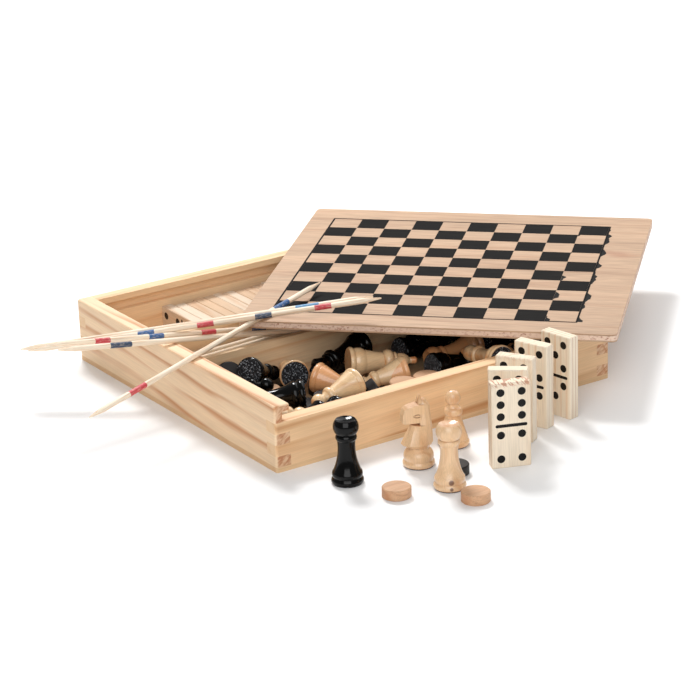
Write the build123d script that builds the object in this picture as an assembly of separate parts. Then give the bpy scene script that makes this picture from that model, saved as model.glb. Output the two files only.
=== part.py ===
from build123d import *
import math
import os

# Games compendium box: a shallow wooden box with a plywood lid whose upper face is a
# draughts board.  The box holds chess men, draughts, dominoes and pick-up sticks.
# Millimetres.  Origin: centre of the box's underside.  +X runs along the front wall to
# the right, +Y to the back wall, +Z up.  Everything stands on the plane z = 0.

# ---- box -------------------------------------------------------------------------------
BOX_WIDTH = 200.0          # along X, outside
WALL = 8.0                 # wall thickness
BASE_PLY = 2.6             # base panel, glued under the walls
FINGER = 5.6               # height of one finger of the corner joints
FINGERS_TO_RIM = 4         # fingers up to the top of the low front wall
GROOVE_HEIGHT = 5.3        # slot that the lid slides in
GROOVE_DEPTH = 4.0
LIP = 3.2                  # wood left above the slot
CORNER_RADIUS = 1.5        # outer upright edges of the box
EDGE_EASE = 0.5            # chamfer along the outer top edges

# ---- bays ------------------------------------------------------------------------------
DIVIDER = 3.0              # divider thickness
DIVIDER_DROP = 0.4         # divider tops lie this far under the lid's slot
HOUSING = 1.5              # depth of the slots that hold the divider ends
STICK_BAY = 37.0           # depth of the pick-up stick bay
TILE_ROOM = 4.5            # free depth beside the dominoes in their bay
STICK_ROOM = 2.0           # free length at each end of the pick-up sticks

# ---- lid -------------------------------------------------------------------------------
LID_FACE_PLY = 0.8         # each outer veneer
LID_CORE_PLY = 2.4
LID_CLEARANCE = 0.3        # side and end clearance in the slots
LID_SETBACK = 1.2          # front edge of the closed lid behind the box front
LID_CORNER = 3.0
LID_FROM_RIGHT = 21.5      # centre of the lid, where it lies across the rims, from the right face
LID_Y = 4.6
LID_YAW = -45.4
SQUARES = 10               # squares along one side of the board
SQUARE = 15.5
PRINT_INSET = 0.05         # bare line round each dark square
PRINT_BORDER = 1.0         # width of the printed line round the board
PRINT_SHIFT_X = -4.1       # board centre from the lid centre
PRINT_SHIFT_Y = -0.9
INK = 0.06                 # thickness of the printed ink

# ---- chess men -------------------------------------------------------------------------
MAN_RADIUS = 7.7           # foot radius, the same for every man
FELT = 0.5                 # felt pad under the foot
FELT_INSET = 0.8
MEN_ROWS = 6               # ordered rows of men across the front bay
ROW_NEST = 0.72            # how far the feet of one row reach past those of the next

# ---- draughts, dominoes, sticks ----------------------------------------------------------
DRAUGHT_RADIUS = 6.85
DRAUGHT_HEIGHT = 5.0
DRAUGHT_EDGE = 0.4
TILE_LENGTH = 42.5
TILE_WIDTH = 19.0
TILE_THICKNESS = 6.1
TILE_EDGE = 0.4
TILE_GAP = 0.06            # between neighbours in the bay
TILE_END_ROOM = 4.5        # free length at the right end of the row in the bay
PIP_RADIUS = 1.95
PIP_COLUMN = 5.1           # pip columns from the tile's middle line
PIP_ROW = 6.0              # pip rows from the middle of each half
BAR_LENGTH = 15.4
BAR_WIDTH = 1.6
PIP_DEPTH = 0.25           # depth of the painted recesses
STICK_RADIUS = 1.4
STICK_POINT = 9.0          # length of each sharpened end
STICK_TIP = 0.35           # radius of the blunted point

# ---- clearances --------------------------------------------------------------------------
REST_GAP = 0.1             # between a loose piece and what it lies on

# Heights and places that follow from the sizes above.
ROW_PITCH = 2 * MAN_RADIUS - ROW_NEST
MEN_BAY = (MEN_ROWS - 1) * ROW_PITCH + 2 * (MAN_RADIUS + REST_GAP)
TILE_BAY = TILE_LENGTH + TILE_ROOM
BOX_DEPTH = 2 * (WALL + DIVIDER) + MEN_BAY + STICK_BAY + TILE_BAY
STICK_LENGTH = BOX_WIDTH - 2 * (WALL + STICK_ROOM)
FRONT_TOP = BASE_PLY + FINGERS_TO_RIM * FINGER
GROOVE_TOP = FRONT_TOP + GROOVE_HEIGHT
BOX_HEIGHT = GROOVE_TOP + LIP
DIVIDER_TOP = FRONT_TOP - DIVIDER_DROP
INSIDE_X = BOX_WIDTH / 2 - WALL
INSIDE_Y = BOX_DEPTH / 2 - WALL
SLOT_X = INSIDE_X + GROOVE_DEPTH
SLOT_Y = INSIDE_Y + GROOVE_DEPTH
TILE_DIVIDER_Y = INSIDE_Y - TILE_BAY - DIVIDER
BAY_DIVIDER_Y = TILE_DIVIDER_Y - STICK_BAY - DIVIDER
LID_X = BOX_WIDTH / 2 - LID_FROM_RIGHT
LID_WIDTH = 2 * (SLOT_X - LID_CLEARANCE)
LID_DEPTH = SLOT_Y - LID_CLEARANCE + BOX_DEPTH / 2 - LID_SETBACK
LID_PLY = 2 * LID_FACE_PLY + LID_CORE_PLY
LID_TOP = BOX_HEIGHT + LID_PLY
PRINT_TOP = LID_TOP + INK
BOARD = SQUARES * SQUARE


def block(x0, x1, y0, y1, z0, z1):
    """Box between two corners."""
    return Pos((x0 + x1) / 2, (y0 + y1) / 2, (z0 + z1) / 2) * Box(x1 - x0, y1 - y0, z1 - z0)


def group(shapes):
    """Separate solids of one node."""
    return Compound(children=[shape if isinstance(shape, Solid) else shape.solid() for shape in shapes])


# ======================================== box ===========================================

def box_outline():
    """Outer form of the box, with its upright corners rounded and its top edge eased."""
    outline = extrude(RectangleRounded(BOX_WIDTH, BOX_DEPTH, CORNER_RADIUS), BOX_HEIGHT)
    return chamfer(outline.edges().group_by(Axis.Z)[-1], EDGE_EASE)


def front_fingers(side):
    """Corner blocks that belong to the front or back wall, at the side wall `side` (-1 or 1)."""
    blocks = []
    for band in range(1, FINGERS_TO_RIM, 2):
        low = BASE_PLY + band * FINGER
        inner, outer = side * INSIDE_X, side * BOX_WIDTH / 2
        blocks.append((min(inner, outer), max(inner, outer), low, low + FINGER))
    return blocks


def side_wall(side):
    """Left (-1) or right (1) wall, with the lid slot, divider housings and corner fingers."""
    inner, outer = side * INSIDE_X, side * BOX_WIDTH / 2
    x0, x1 = min(inner, outer), max(inner, outer)
    wall = block(x0, x1, -BOX_DEPTH / 2, BOX_DEPTH / 2, BASE_PLY, BOX_HEIGHT)
    s0, s1 = sorted((inner, side * SLOT_X))
    wall -= block(s0, s1, -BOX_DEPTH / 2, SLOT_Y, FRONT_TOP, GROOVE_TOP)
    h0, h1 = sorted((inner, side * (INSIDE_X + HOUSING)))
    for y in (BAY_DIVIDER_Y, TILE_DIVIDER_Y):
        wall -= block(h0, h1, y, y + DIVIDER, BASE_PLY, DIVIDER_TOP)
    for fx0, fx1, low, high in front_fingers(side):
        wall -= block(fx0, fx1, -BOX_DEPTH / 2, -INSIDE_Y, low, high)
        wall -= block(fx0, fx1, INSIDE_Y, BOX_DEPTH / 2, low, high)
    return wall & box_outline()


def front_wall():
    """Low front wall that the lid slides out over."""
    wall = block(-INSIDE_X, INSIDE_X, -BOX_DEPTH / 2, -INSIDE_Y, BASE_PLY, FRONT_TOP)
    for side in (-1, 1):
        for x0, x1, low, high in front_fingers(side):
            wall += block(x0, x1, -BOX_DEPTH / 2, -INSIDE_Y, low, high)
    return wall & box_outline()


def back_wall():
    """Back wall, as tall as the side walls, with the lid slot on its inner face."""
    wall = block(-INSIDE_X, INSIDE_X, INSIDE_Y, BOX_DEPTH / 2, BASE_PLY, BOX_HEIGHT)
    wall -= block(-INSIDE_X, INSIDE_X, INSIDE_Y, SLOT_Y, FRONT_TOP, GROOVE_TOP)
    for side in (-1, 1):
        for x0, x1, low, high in front_fingers(side):
            wall += block(x0, x1, INSIDE_Y, BOX_DEPTH / 2, low, high)
    return wall & box_outline()


def base_panel():
    """Plywood panel under all four walls."""
    panel = block(-BOX_WIDTH / 2, BOX_WIDTH / 2, -BOX_DEPTH / 2, BOX_DEPTH / 2, 0, BASE_PLY)
    return panel & box_outline()


def divider(y):
    """Strip across the box from y to y + DIVIDER, its ends housed in the side walls."""
    reach = INSIDE_X + HOUSING
    return block(-reach, reach, y, y + DIVIDER, BASE_PLY, DIVIDER_TOP)


# ======================================== lid ===========================================

LID_PLACE = Pos(LID_X, LID_Y, BOX_HEIGHT) * Rot(0, 0, LID_YAW)


def lid_sheet(low, thickness):
    """One ply of the lid, from `low` above the rims, where the lid lies."""
    return LID_PLACE * Pos(0, 0, low) * extrude(RectangleRounded(LID_WIDTH, LID_DEPTH, LID_CORNER), thickness)


def board_print():
    """Dark squares and border line of the board; the far left square is a light one."""
    start = -BOARD / 2 + SQUARE / 2
    dark = []
    for row in range(SQUARES):
        for column in range(SQUARES):
            if (row + column) % 2 == 0:
                x = start + column * SQUARE
                y = start + row * SQUARE
                size = SQUARE - 2 * PRINT_INSET
                dark.append(Pos(x, y, LID_PLY + INK / 2) * Box(size, size, INK))
    line = Rectangle(BOARD + 2 * PRINT_BORDER, BOARD + 2 * PRINT_BORDER) - Rectangle(BOARD, BOARD)
    dark.append(Pos(0, 0, LID_PLY) * extrude(line, INK))
    place = LID_PLACE * Pos(PRINT_SHIFT_X, PRINT_SHIFT_Y, 0)
    return group([place * shape for shape in dark])


# ===================================== chess men ========================================

def dome_side(rim, top):
    """Point halfway round a spherical cap between its rim and its top on the axis."""
    radius, height = rim
    middle = (radius ** 2 + height ** 2 - top ** 2) / (2 * (height - top))
    reach = abs(top - middle)
    pole = math.copysign(math.pi / 2, top - middle)
    angle = (math.atan2(height - middle, radius) + pole) / 2
    return reach * math.cos(angle), middle + reach * math.sin(angle)


def turned(start, steps):
    """Turned solid from its outline of (radius, height) points.

    A step of two numbers is a straight cut to that point.  A step of four numbers is a
    bead or hollow, an arc through its first point to its second.  A last step of one number
    is a spherical dome or dish that meets the axis at that height.
    """
    edges = [Line((0, start[1]), start)]
    last = start
    for step in steps:
        if len(step) == 2:
            edges.append(Line(last, step))
            last = step
        elif len(step) == 1:
            edges.append(ThreePointArc(last, dome_side(last, step[0]), (0, step[0])))
            last = (0, step[0])
        else:
            edges.append(ThreePointArc(last, step[:2], step[2:]))
            last = step[2:]
    edges.append(Line(last, (0, start[1])))
    profile = make_face([Plane.XZ * edge for edge in edges])
    return revolve(profile, Axis.Z)


# Rounded ring at the foot of every man, above the felt pad.
RING_MIDDLE = FELT + 1.3
FOOT_START = (MAN_RADIUS - 0.4, FELT)
FOOT = [
    (MAN_RADIUS, RING_MIDDLE, MAN_RADIUS - 0.55, RING_MIDDLE + 1.2),
    (MAN_RADIUS - 0.8, RING_MIDDLE + 1.6),
]

# Outline of each man above its foot ring.
OUTLINES = {
    "pawn": [
        (7.05, 3.9), (5.3, 9.6, 3.7, 15.6), (4.55, 17.6, 3.2, 19.5), (2.6, 20.4),
        (2.35, 21.3), (28.0,),
    ],
    "rook": [
        (7.25, 4.9, 6.5, 6.7), (4.75, 12.2, 4.35, 21.4), (5.05, 22.9, 4.45, 24.3),
        (6.05, 28.3, 4.7, 31.6), (30.6,),
    ],
    "bishop": [
        (7.2, 4.9, 6.5, 6.6), (4.4, 11.5, 3.5, 18.6), (4.9, 20.2, 3.5, 21.6), (4.2, 22.4, 3.1, 23.2),
        (4.15, 27.0, 1.6, 31.2), (1.3, 31.6), (34.4,),
    ],
    "queen": [
        (7.3, 5.9, 6.2, 9.0), (5.2, 14.0, 4.5, 18.6), (6.0, 21.0, 4.2, 23.8), (4.6, 24.8, 3.5, 25.9),
        (3.9, 28.4, 2.2, 32.0), (1.6, 32.6), (1.9, 35.4), (36.8,),
    ],
    "king": [
        (7.25, 4.9, 6.6, 6.7), (4.6, 13.2, 3.9, 21.2), (5.5, 23.0, 3.9, 24.8), (4.6, 25.7, 3.5, 26.6),
        (3.9, 30.0, 4.7, 33.2), (3.2, 34.8, 1.6, 35.2), (2.0, 36.6), (0.9, 38.4), (0, 38.7),
    ],
}
# Where a man touches when it lies on its side: height of the widest part of its head, and
# the radius there.
LYING_CONTACT = {
    "pawn": (24.3, 3.75), "rook": (28.3, 6.05), "bishop": (27.0, 4.15), "queen": (21.0, 6.0),
    "king": (33.2, 4.7), "knight": (27.0, 4.05),
}

# Knight that faces +X.  Its body and mane are carved in flat facets between level half
# sections: height, then (forward, sideways) points from the chest round to the mane.
KNIGHT_BODY = [
    (9.4, [(4.6, 1.3), (3.5, 3.3), (0.8, 4.8), (-2.0, 4.7), (-3.9, 3.4), (-5.0, 1.2)]),
    (11.7, [(8.2, 1.8), (6.0, 4.6), (2.0, 6.0), (-2.4, 6.0), (-5.2, 4.2), (-6.9, 1.4)]),
    (21.0, [(3.6, 0.9), (2.4, 2.4), (0.6, 3.9), (-2.4, 4.4), (-4.9, 3.4), (-6.6, 1.2)]),
]
KNIGHT_MANE = [
    (20.9, [(0.0, 3.4), (-2.4, 4.4), (-4.9, 3.4), (-6.6, 1.2)]),
    (30.4, [(0.4, 2.6), (-2.4, 3.3), (-4.2, 2.4), (-5.6, 0.9)]),
    (33.4, [(-0.8, 1.0), (-1.8, 1.5), (-2.6, 1.2), (-3.4, 0.6)]),
]
# Side view of the head, from under the jaw round the nose to the brow.
KNIGHT_HEAD = [
    (-2.4, 22.4), (7.6, 22.4), (8.3, 23.4), (8.1, 26.5), (7.2, 29.3), (5.6, 30.3), (0.2, 31.2), (-2.4, 31.2),
]
HEAD_BACK = (-2.4, 3.6)    # forward place and half width at the mane
HEAD_NOSE = (8.3, 2.2)     # and at the tip of the nose
EAR_FOOT = (-1.9, 0.5, 0.5, 2.5, 30.6)    # back, front, inner, outer side and height
EAR_TIP = (-1.1, -0.6, 0.8, 1.3, 35.6)
EYE_PLACE = (1.2, 25.9)
EYE = (2.1, 0.95)          # half length and half height of the carved almond
EYEBALL = (1.15, 0.5)
CARVING = 0.35             # depth of the carved lines
KNIGHT_FOOT = [(7.2, 5.2, 6.4, 7.6), (5.1, 9.0), (5.0, 9.7)]


def facets(sections):
    """Solid with flat facets between level half sections, the same on both sides."""
    faces = []
    for height, points in sections:
        mirrored = [(x, -y) for x, y in reversed(points)]
        faces.append(Pos(0, 0, height) * make_face(Polyline(*points, *mirrored, close=True)))
    return loft(faces, ruled=True)


def knight_head():
    """Wedge-shaped head with an eye carved in each side."""
    (back, back_half), (nose, nose_half) = HEAD_BACK, HEAD_NOSE
    outline = [(back, back_half), (nose, nose_half), (nose, -nose_half), (back, -back_half)]
    wedge = extrude(make_face(Polyline(*outline, close=True)), KNIGHT_MANE[-1][0])
    side = Plane.XZ * make_face(Polyline(*KNIGHT_HEAD, close=True))
    head = wedge & extrude(side, MAN_RADIUS, both=True)
    lean = (back_half - nose_half) / (nose - back)
    x, z = EYE_PLACE
    half = back_half - lean * (x - back)
    ring = Ellipse(*EYE) - Ellipse(*EYEBALL)
    for way in (-1, 1):
        cheek = Plane(origin=(x, way * half, z), x_dir=(1, -way * lean, 0), z_dir=(lean, way, 0))
        head -= extrude(cheek * ring, CARVING, both=True)
    return head


def knight_ear(way):
    """Pointed ear on the left (1) or right (-1) side of the head."""
    faces = []
    for back, front, inner, outer, height in (EAR_FOOT, EAR_TIP):
        corners = [(back, way * inner), (front, way * inner), (front, way * outer), (back, way * outer)]
        faces.append(Pos(0, 0, height) * make_face(Polyline(*corners, close=True)))
    return loft(faces, ruled=True)


def knight():
    """Knight: a turned foot, and a horse carved with flat facets."""
    foot = turned(FOOT_START, FOOT + KNIGHT_FOOT + [(0, KNIGHT_FOOT[-1][1])])
    horse = facets(KNIGHT_BODY) + facets(KNIGHT_MANE) + knight_head()
    return foot + horse + knight_ear(1) + knight_ear(-1)


def man(kind):
    """One chess man, standing on its felt pad at the origin."""
    if kind == "knight":
        return knight().solid()
    return turned(FOOT_START, FOOT + OUTLINES[kind]).solid()


def felt_pad():
    """Felt disc glued under a chess man."""
    return extrude(Circle(MAN_RADIUS - FELT_INSET), FELT).solid()


MEN = {kind: man(kind) for kind in LYING_CONTACT}
PAD = felt_pad()


def pointing(x, y, z, yaw, pitch):
    """Place that turns a piece's upright axis to the bearing `yaw`, `pitch` degrees upwards."""
    return Pos(x, y, z) * Rot(0, 0, yaw) * Rot(0, 90 - pitch, 0)


def lying(kind, x, y, yaw, floor):
    """Place of a man that lies on a level floor, foot at (x, y) and head towards `yaw`."""
    height, radius = LYING_CONTACT[kind]
    droop = math.atan2(MAN_RADIUS - radius, height - RING_MIDDLE)
    lift = floor + REST_GAP + MAN_RADIUS * math.cos(droop) + RING_MIDDLE * math.sin(droop)
    on_side = Rot(0, 0, 90) if kind == "knight" else Rot(0, 0, 0)
    return pointing(x, y, lift, yaw, -math.degrees(droop)) * on_side


# ================================ draughts and dominoes =================================

def draught():
    """Flat disc with eased edges."""
    disc = extrude(Circle(DRAUGHT_RADIUS), DRAUGHT_HEIGHT)
    return chamfer(disc.edges(), DRAUGHT_EDGE).solid()


DRAUGHT = draught()


def pip_spots(count):
    """Column and row of each pip in one half of a domino."""
    corners = [(1, 1), (-1, -1), (-1, 1), (1, -1)]
    spots = corners[: count // 2 * 2 if count < 6 else 4]
    if count == 6:
        spots = corners + [(-1, 0), (1, 0)]
    if count % 2:
        spots = spots + [(0, 0)]
    return spots


def pip_marks(upper, lower, depth):
    """Painted marks of a domino, in the face of a tile that stands on end and faces -Y."""
    sketch = Pos(0, TILE_LENGTH / 2) * SlotOverall(BAR_LENGTH, BAR_WIDTH)
    for count, middle in ((upper, TILE_LENGTH * 3 / 4), (lower, TILE_LENGTH / 4)):
        for column, row in pip_spots(count):
            sketch += Pos(column * PIP_COLUMN, middle + row * PIP_ROW) * Circle(PIP_RADIUS)
    return extrude(Plane.XZ * sketch, -depth)


def tile_blank():
    """Domino without its marks, standing on end, its front face on the plane y = 0."""
    blank = block(-TILE_WIDTH / 2, TILE_WIDTH / 2, 0, TILE_THICKNESS, 0, TILE_LENGTH)
    return chamfer(blank.edges(), TILE_EDGE)


BLANK = tile_blank()


def domino(upper, lower):
    """Tile with its recesses, and the paint that fills them."""
    tile = (BLANK - pip_marks(upper, lower, PIP_DEPTH)).solid()
    return tile, pip_marks(upper, lower, PIP_DEPTH).solids()


# ======================================= sticks =========================================

def stick():
    """Pick-up stick along +X from its left tip at the origin, sharpened at both ends."""
    outline = [
        (0, 0), (0, STICK_TIP), (STICK_POINT, STICK_RADIUS), (STICK_LENGTH - STICK_POINT, STICK_RADIUS),
        (STICK_LENGTH, STICK_TIP), (STICK_LENGTH, 0),
    ]
    return revolve(make_face(Plane.XZ * Polyline(*outline, close=True)), Axis.X).solid()


STICK = stick()


def stick_over(x, y, yaw, rise, before):
    """Stick that lies over the rim at (x, y), with `before` millimetres of it to the left."""
    z = BOX_HEIGHT + REST_GAP + STICK_RADIUS / math.cos(math.radians(rise))
    return Pos(x, y, z) * Rot(0, 0, yaw) * Rot(0, -rise, 0) * Pos(-before, 0, 0) * STICK


# ================================== what lies where =====================================

# Men that stand in front of the box: node, kind, x, y from its front face, direction they face.
STANDING_MEN = [
    ("black_rook", "rook", -79.5, -29.0, 0),
    ("natural_rook", "rook", -45.5, -63.0, 0),
    ("natural_pawn", "pawn", -14.0, -22.5, 0),
    ("natural_knight", "knight", -41.5, -32.5, 166),
]

# Draughts in front of the box: node, x, y from its front face.
LOOSE_DRAUGHTS = [
    ("natural_draught_left", -70.5, -56.0),
    ("natural_draught_right", -45.0, -82.5),
    ("black_draught", -34.0, -51.0),
]

# Dominoes that stand in a curved row: node, pips above and below, left front corner (its y
# from the box's front face), yaw.
STANDING_TILES = [
    ("domino_1", 6, 4, -17.7, -58.4, -21.5),
    ("domino_2", 6, 5, -7.8, -42.2, -38.5),
    ("domino_3", 4, 3, 7.0, -28.3, -59.0),
    ("domino_4", 5, 2, 26.5, -17.5, -71.5),
    ("domino_5", 5, 3, 45.3, -14.3, -79.5),
]

# Sticks that lie across the rim of the left wall: node, y from the back face of the bay
# divider, yaw, length to the left of the rim.  Those that rise to the lid touch the rim's
# outer edge, and those that dip into their bay touch its inner edge.
STICKS_OVER_LID = [
    ("stick_over_lid_back", 26.2, -33.4, 62.0),
    ("stick_over_lid_front", 22.4, -33.4, 60.0),
]
STICKS_ON_LID = [
    ("stick_on_lid", -22.7, 19.8, 74.5),
]
STICKS_IN_BAY = [
    ("stick_in_bay_front", 4.0, -0.3, 66.0),
    ("stick_in_bay_back", 12.7, -0.8, 67.5),
]
OVER_LID_RISE = 7.0
ON_LID_RISE = 4.3
BAY_DIP = 17.047           # from the rim down to the right tip of the first of them
BAY_RISE = -math.degrees(math.asin(BAY_DIP / (STICK_LENGTH - STICKS_IN_BAY[0][-1])))

# Flat draughts lie in layers on the floor of the front bay; the men are heaped on them.
LAYER = DRAUGHT_HEIGHT + REST_GAP
FIRST_LAYER = BASE_PLY + LAYER
SECOND_LAYER = FIRST_LAYER + LAYER

# Men heaped in the front bay: kind, x and y of the foot from the bay's left front corner,
# bearing of the head, floor.
NATURAL_HEAP = [
    ("pawn", 46.3, 60.2, 68, FIRST_LAYER),
    ("pawn", 53.5, 53.0, -60, FIRST_LAYER),
    ("pawn", 59.0, 23.0, 184, SECOND_LAYER),
    ("pawn", 1.6, 23.6, 0, FIRST_LAYER),
]
# Two men that have lost their felt pads.
BARE_HEAP = [
    ("queen", 77.2, 59.7, -20, FIRST_LAYER),
    ("pawn", 94.9, 32.0, 163, FIRST_LAYER),
]
BLACK_HEAP = [
    ("rook", 36.5, 36.3, 155, FIRST_LAYER),
    ("king", 98.5, 77.0, 192, FIRST_LAYER),
    ("pawn", 30.0, 8.0, 180, FIRST_LAYER),
    ("pawn", 34.5, 7.9, 0, FIRST_LAYER),
]
# Black pawns that lean on other pieces: x, y and z of the foot, bearing, pitch.
LEANING_PAWNS = [
    (23.5, 66.9, 20.8, 27, -19.5),
    (4.0, 64.1, 15.45, -20, 2.9),
]

# Rows of men in the right half of the front bay: finish and kind of the long man, and the
# finish of the pawn that lies in line with it.
ROWS = [
    ("natural", "king", "natural"),
    ("natural", "bishop", "black"),
    ("black", "queen", "natural"),
    ("natural", "rook", "black"),
    ("black", "bishop", "black"),
    ("black", "bishop", "black"),
]
# Distances of the feet from the bay's right wall.
ROW_START = 70.5
ROW_END = 1.4
ROW_FEET = (30.8, 28.2)    # feet that stand back to back in every other row

# Men that lie across the ordered rows, feet at the front wall or at the divider: finish,
# kind, distance from the right wall, floor.
ACROSS_FROM_FRONT = [("natural", "bishop", 52.0, 12.6), ("black", "knight", 16.0, 15.8)]
ACROSS_FROM_BACK = [("black", "knight", 52.0, 13.9), ("natural", "knight", 16.0, 15.3)]
ACROSS_FRONT_GAP = 2.0
ACROSS_BACK_GAP = 1.4

# Draughts under and among the men: x and y from the left front corner, layers beneath.
NATURAL_FLAT = [(30.0, 61.0, 1), (81.4, 16.1, 2), (95.3, 15.3, 1), (95.3, 15.3, 2)]
BLACK_FLAT = [(49.0, 35.5, 1), (56.0, 23.0, 1), (36.5, 22.7, 1), (81.4, 16.1, 1)]
# Black draughts that lean: x, y and z of the lower face, bearing, pitch.
BLACK_LEANING = [(22.0, 84.6, 13.75, -115, 30), (64.5, 19.0, 13.6, -20, 33)]
# The bottom layer, a grid of columns and rows with three places left empty.
GRID_COLUMNS = 6
GRID_ROWS = 5
GRID_X = 7.1
GRID_Y = 7.2
GRID_PITCH_X = 18.2
GRID_PITCH_Y = 17.6
GRID_EMPTY = {(0, 4), (5, 3), (5, 4)}

# Pick-up sticks in their bay.
PILE_LAYERS = 5
PILE_PER_LAYER = 5
PILE_ROOM = 0.422          # between the pile and each divider
PILE_YAW = 4.0             # the layers lie alternately this far off the bay's line


def in_bay(x, y):
    """Point of the front bay, measured from its left front corner."""
    return x - INSIDE_X, y - INSIDE_Y


def heaped_men():
    """Kind and place of every man in the box, by finish, and the places of the felt pads."""
    men = {"natural": [], "black": []}
    for kind, x, y, yaw, floor in NATURAL_HEAP:
        men["natural"].append((kind, lying(kind, *in_bay(x, y), yaw, floor)))
    for finish, kind, x, floor in ACROSS_FROM_BACK:
        y = BAY_DIVIDER_Y - ACROSS_BACK_GAP
        men[finish].append((kind, lying(kind, INSIDE_X - x, y, -90, floor)))
    for finish, kind, x, floor in ACROSS_FROM_FRONT:
        y = ACROSS_FRONT_GAP - INSIDE_Y
        men[finish].append((kind, lying(kind, INSIDE_X - x, y, 90, floor)))
    for kind, x, y, yaw, floor in BLACK_HEAP:
        men["black"].append((kind, lying(kind, *in_bay(x, y), yaw, floor)))
    for x, y, *turned_to in LEANING_PAWNS:
        men["black"].append(("pawn", pointing(*in_bay(x, y), *turned_to)))
    for row, (finish, kind, pawn_finish) in enumerate(ROWS):
        y = -INSIDE_Y + MAN_RADIUS + REST_GAP + row * ROW_PITCH
        if row % 2 == 0:
            ends = (ROW_START, 0), (ROW_END, 180)
        else:
            ends = (ROW_FEET[0], 180), (ROW_FEET[1], 0)
        men[finish].append((kind, lying(kind, INSIDE_X - ends[0][0], y, ends[0][1], BASE_PLY)))
        men[pawn_finish].append(("pawn", lying("pawn", INSIDE_X - ends[1][0], y, ends[1][1], BASE_PLY)))
    pads = [place for finish in men.values() for kind, place in finish]
    for kind, x, y, yaw, floor in BARE_HEAP:
        men["natural"].append((kind, lying(kind, *in_bay(x, y), yaw, floor)))
    return men, pads


def flat_draughts(places):
    """Draughts that lie flat in the front bay, on a number of layers."""
    discs = []
    for x, y, layers in places:
        discs.append(Pos(*in_bay(x, y), BASE_PLY + REST_GAP + layers * LAYER) * DRAUGHT)
    return discs


def draught_grid():
    """Bottom layer of draughts, natural and black in turn."""
    natural, black = [], []
    for column in range(GRID_COLUMNS):
        for row in range(GRID_ROWS):
            if (column, row) not in GRID_EMPTY:
                spot = (GRID_X + column * GRID_PITCH_X, GRID_Y + row * GRID_PITCH_Y, 0)
                (natural if (column + row) % 2 else black).append(spot)
    return flat_draughts(natural), flat_draughts(black)


def put_away_tiles():
    """Tiles on their long edges in the domino bay, as (place, pips above, pips below)."""
    outside = {tile[1:3] for tile in STANDING_TILES}
    pairs = [(5, 4)]
    for upper in range(7):
        for lower in range(upper + 1):
            if (upper, lower) not in outside and (upper, lower) not in pairs:
                pairs.append((upper, lower))
    pitch = TILE_THICKNESS + TILE_GAP
    first = INSIDE_X - TILE_END_ROOM - len(pairs) * pitch + TILE_GAP
    forward = (0, 3.0, 4.0, 1.4, 1.4, 0.8, 2.2, 3.4, 3.0, 2.6, 0.6)
    places = []
    for index, (upper, lower) in enumerate(pairs):
        y = INSIDE_Y - REST_GAP - forward[index % len(forward)] - TILE_LENGTH
        corner = (first + index * pitch, y, BASE_PLY + REST_GAP + TILE_WIDTH / 2)
        face_left = Plane(origin=corner, x_dir=(0, 0, 1), z_dir=(0, 1, 0))
        places.append((face_left.location, upper, lower))
    return places


def stick_pile():
    """Sticks put away in their bay, in layers that cross at a slight angle."""
    middle = (BAY_DIVIDER_Y + DIVIDER + TILE_DIVIDER_Y) / 2
    slant = STICK_LENGTH * math.sin(math.radians(PILE_YAW))
    pitch = (STICK_BAY - 2 * (PILE_ROOM + STICK_RADIUS) - slant) / (PILE_PER_LAYER - 1)
    sticks = []
    for layer in range(PILE_LAYERS):
        z = BASE_PLY + REST_GAP + STICK_RADIUS + layer * (2 * STICK_RADIUS + REST_GAP)
        yaw = PILE_YAW if layer % 2 == 0 else -PILE_YAW
        for place in range(PILE_PER_LAYER):
            y = middle + (place - (PILE_PER_LAYER - 1) / 2) * pitch
            sticks.append(Pos(0, y, z) * Rot(0, 0, yaw) * Pos(-STICK_LENGTH / 2, 0, 0) * STICK)
    return sticks


def loose_sticks(nodes):
    """Add the sticks that lie across the left rim."""
    outer_edge, inner_edge = -BOX_WIDTH / 2 + EDGE_EASE, -INSIDE_X
    for sticks, x, rise in (
        (STICKS_OVER_LID, outer_edge, OVER_LID_RISE),
        (STICKS_ON_LID, outer_edge, ON_LID_RISE),
        (STICKS_IN_BAY, inner_edge, BAY_RISE),
    ):
        for node, y, yaw, before in sticks:
            nodes[node] = stick_over(x, BAY_DIVIDER_Y + DIVIDER + y, yaw, rise, before)


def standing_sets(nodes):
    """Add the men, draughts and dominoes that stand in front of the box."""
    front = -BOX_DEPTH / 2
    for node, kind, x, y, yaw in STANDING_MEN:
        place = Pos(x, front + y, 0) * Rot(0, 0, yaw)
        nodes[node] = place * MEN[kind]
        nodes[node + "_felt"] = place * PAD
    for node, x, y in LOOSE_DRAUGHTS:
        nodes[node] = Pos(x, front + y, 0) * DRAUGHT
    for node, upper, lower, x, y, yaw in STANDING_TILES:
        tile, marks = domino(upper, lower)
        place = Pos(x, front + y, 0) * Rot(0, 0, yaw) * Pos(TILE_WIDTH / 2, 0, 0)
        nodes[node] = place * tile
        nodes[node + "_marks"] = group([place * mark for mark in marks])


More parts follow.
